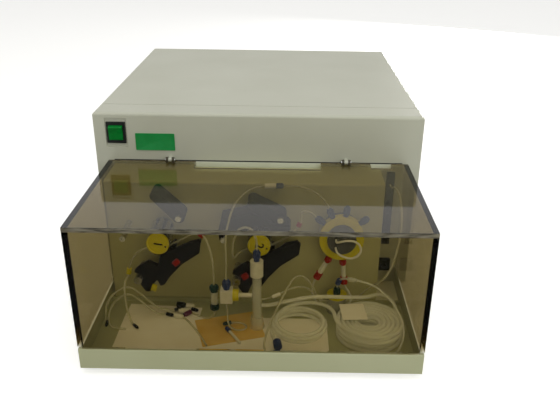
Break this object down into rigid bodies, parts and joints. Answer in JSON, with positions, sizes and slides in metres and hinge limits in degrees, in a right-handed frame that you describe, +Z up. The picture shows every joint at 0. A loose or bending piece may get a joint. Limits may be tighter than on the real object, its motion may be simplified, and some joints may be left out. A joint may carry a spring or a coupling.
{
  "type": "flow-injection unit for an atomic absorption spectrometer",
  "caption": "Bench flow-injection unit: beige cabinet with a hinged smoked hood over roller pumps, an injection valve, a glass separator and coiled tubing in a drip tray",
  "frame": {"origin": "middle of the footprint, on the surface the rubber feet stand on", "axes": "+Z up, front with the hood toward -Y, +X to the viewer's right"},
  "size_m": [0.404, 0.58, 0.238],
  "materials": {
    "cabinet_paint": "fine-textured beige-grey enamel",
    "pan_steel": "plain zinc-plated sheet",
    "foot_rubber": "matt black rubber",
    "screw_steel": "blackened steel",
    "black_plastic": "moulded black plastic",
    "magazine_plastic": "black acetal with a slight sheen",
    "switch_green": "translucent green rocker",
    "smoked_acrylic": "polished bronze-smoked acrylic sheet",
    "bright_steel": "ground stainless steel",
    "motor_metal": "dark grey enamel",
    "core_lacquer": "brown lacquer",
    "board_green": "soldermask",
    "brass": "turned brass",
    "yellow_plastic": "moulded yellow plastic",
    "red_plastic": "moulded red plastic",
    "blue_plastic": "moulded blue plastic",
    "teal_plastic": "moulded dark teal plastic",
    "valve_grey": "dark grey chemical-resistant plastic",
    "white_ptfe": "white fluoropolymer",
    "clear_tube": "clear flexible tubing",
    "glass": "frosted borosilicate glass",
    "liner_paper": "absorbent paper"
  },
  "bodies": {
    "unit": {"front_frame": "cabinet_paint", "top_cover": "cabinet_paint", "rear_panel": "cabinet_paint", "pump_housing": "cabinet_paint", "drip_tray": "cabinet_paint", "chassis_pan": "pan_steel", "rubber_feet": "foot_rubber", "slot_grommet": "foot_rubber", "cover_screws": "screw_steel", "switch_housing": "black_plastic", "mains_inlet": "black_plastic", "fan_frame": "black_plastic", "gas_outlet": "black_plastic", "hinge_brackets": "black_plastic", "upper_magazine": "magazine_plastic", "hinge_pins": "bright_steel", "pump_rods": "bright_steel", "pump_motors": "motor_metal", "valve_drive": "motor_metal", "transformer": "core_lacquer", "control_board": "board_green", "gas_inlet": "brass", "valve_ring": "yellow_plastic", "yellow_fittings": "yellow_plastic", "red_fittings": "red_plastic", "blue_nuts": "blue_plastic", "teal_nuts": "teal_plastic", "valve_base": "valve_grey", "mixing_block": "valve_grey", "separator_cap": "white_ptfe", "tee_block": "white_ptfe", "gas_line": "white_ptfe", "transfer_line": "white_ptfe", "drain_line": "white_ptfe", "waste_hose": "clear_tube", "waste_coil": "clear_tube", "pump_tube_1": "clear_tube", "pump_tube_2": "clear_tube", "clear_links": "clear_tube", "separator_tube": "glass", "tray_liner": "liner_paper"},
    "hood": {"hood_top": "smoked_acrylic", "hood_front": "smoked_acrylic", "hood_left": "smoked_acrylic", "hood_right": "smoked_acrylic", "hinge_lugs": "black_plastic"},
    "power_rocker": {"switch_rocker": "switch_green"},
    "pump_rotor_1": {"rotor_1": "black_plastic", "rollers_1": "bright_steel", "cap_1": "yellow_plastic"},
    "pump_rotor_2": {"rotor_2": "black_plastic", "rollers_2": "bright_steel", "cap_2": "yellow_plastic"},
    "clamp_1": {"magazine_1": "magazine_plastic"},
    "clamp_2": {"magazine_2": "magazine_plastic"},
    "pressure_lever_1": {"lever_1": "magazine_plastic"},
    "pressure_lever_2": {"lever_2": "magazine_plastic"},
    "valve_turn_plate": {"valve_plate": "valve_grey", "sample_loop": "white_ptfe"},
    "fan_wheel": {"fan_rotor": "black_plastic"}
  },
  "joints": [
    {"name": "hood_lift", "type": "hinge", "parent": "unit", "child": "hood", "pos_m": [0, -0.106, 0.181], "axis": [-1, 0, 0], "range_deg": [0, 85]},
    {"name": "power_rock", "type": "hinge", "parent": "unit", "child": "power_rocker", "pos_m": [-0.173, -0.0995, 0.213], "axis": [-1, 0, 0], "range_deg": [0, 16]},
    {"name": "pump_1_spin", "type": "hinge", "parent": "unit", "child": "pump_rotor_1", "pos_m": [-0.111, -0.175, 0.113], "axis": [0, 1, 0], "continuous": true},
    {"name": "pump_2_spin", "type": "hinge", "parent": "unit", "child": "pump_rotor_2", "pos_m": [0.005, -0.175, 0.113], "axis": [0, 1, 0], "continuous": true},
    {"name": "clamp_1_swing", "type": "hinge", "parent": "unit", "child": "clamp_1", "pos_m": [-0.138, -0.177, 0.063], "axis": [0, 1, 0], "range_deg": [0, 20]},
    {"name": "clamp_2_swing", "type": "hinge", "parent": "unit", "child": "clamp_2", "pos_m": [-0.022, -0.177, 0.063], "axis": [0, 1, 0], "range_deg": [0, 20]},
    {"name": "lever_1_press", "type": "hinge", "parent": "unit", "child": "pressure_lever_1", "pos_m": [-0.087, -0.177, 0.139], "axis": [0, 1, 0], "range_deg": [-17, 0]},
    {"name": "lever_2_press", "type": "hinge", "parent": "unit", "child": "pressure_lever_2", "pos_m": [0.029, -0.177, 0.139], "axis": [0, 1, 0], "range_deg": [0, 17]},
    {"name": "valve_switch", "type": "hinge", "parent": "unit", "child": "valve_turn_plate", "pos_m": [0.101, -0.17, 0.111], "axis": [0, 1, 0], "range_deg": [0, 36]},
    {"name": "fan_spin", "type": "hinge", "parent": "unit", "child": "fan_wheel", "pos_m": [0.096, 0.256, 0.136], "axis": [0, 1, 0], "continuous": true}
  ]
}
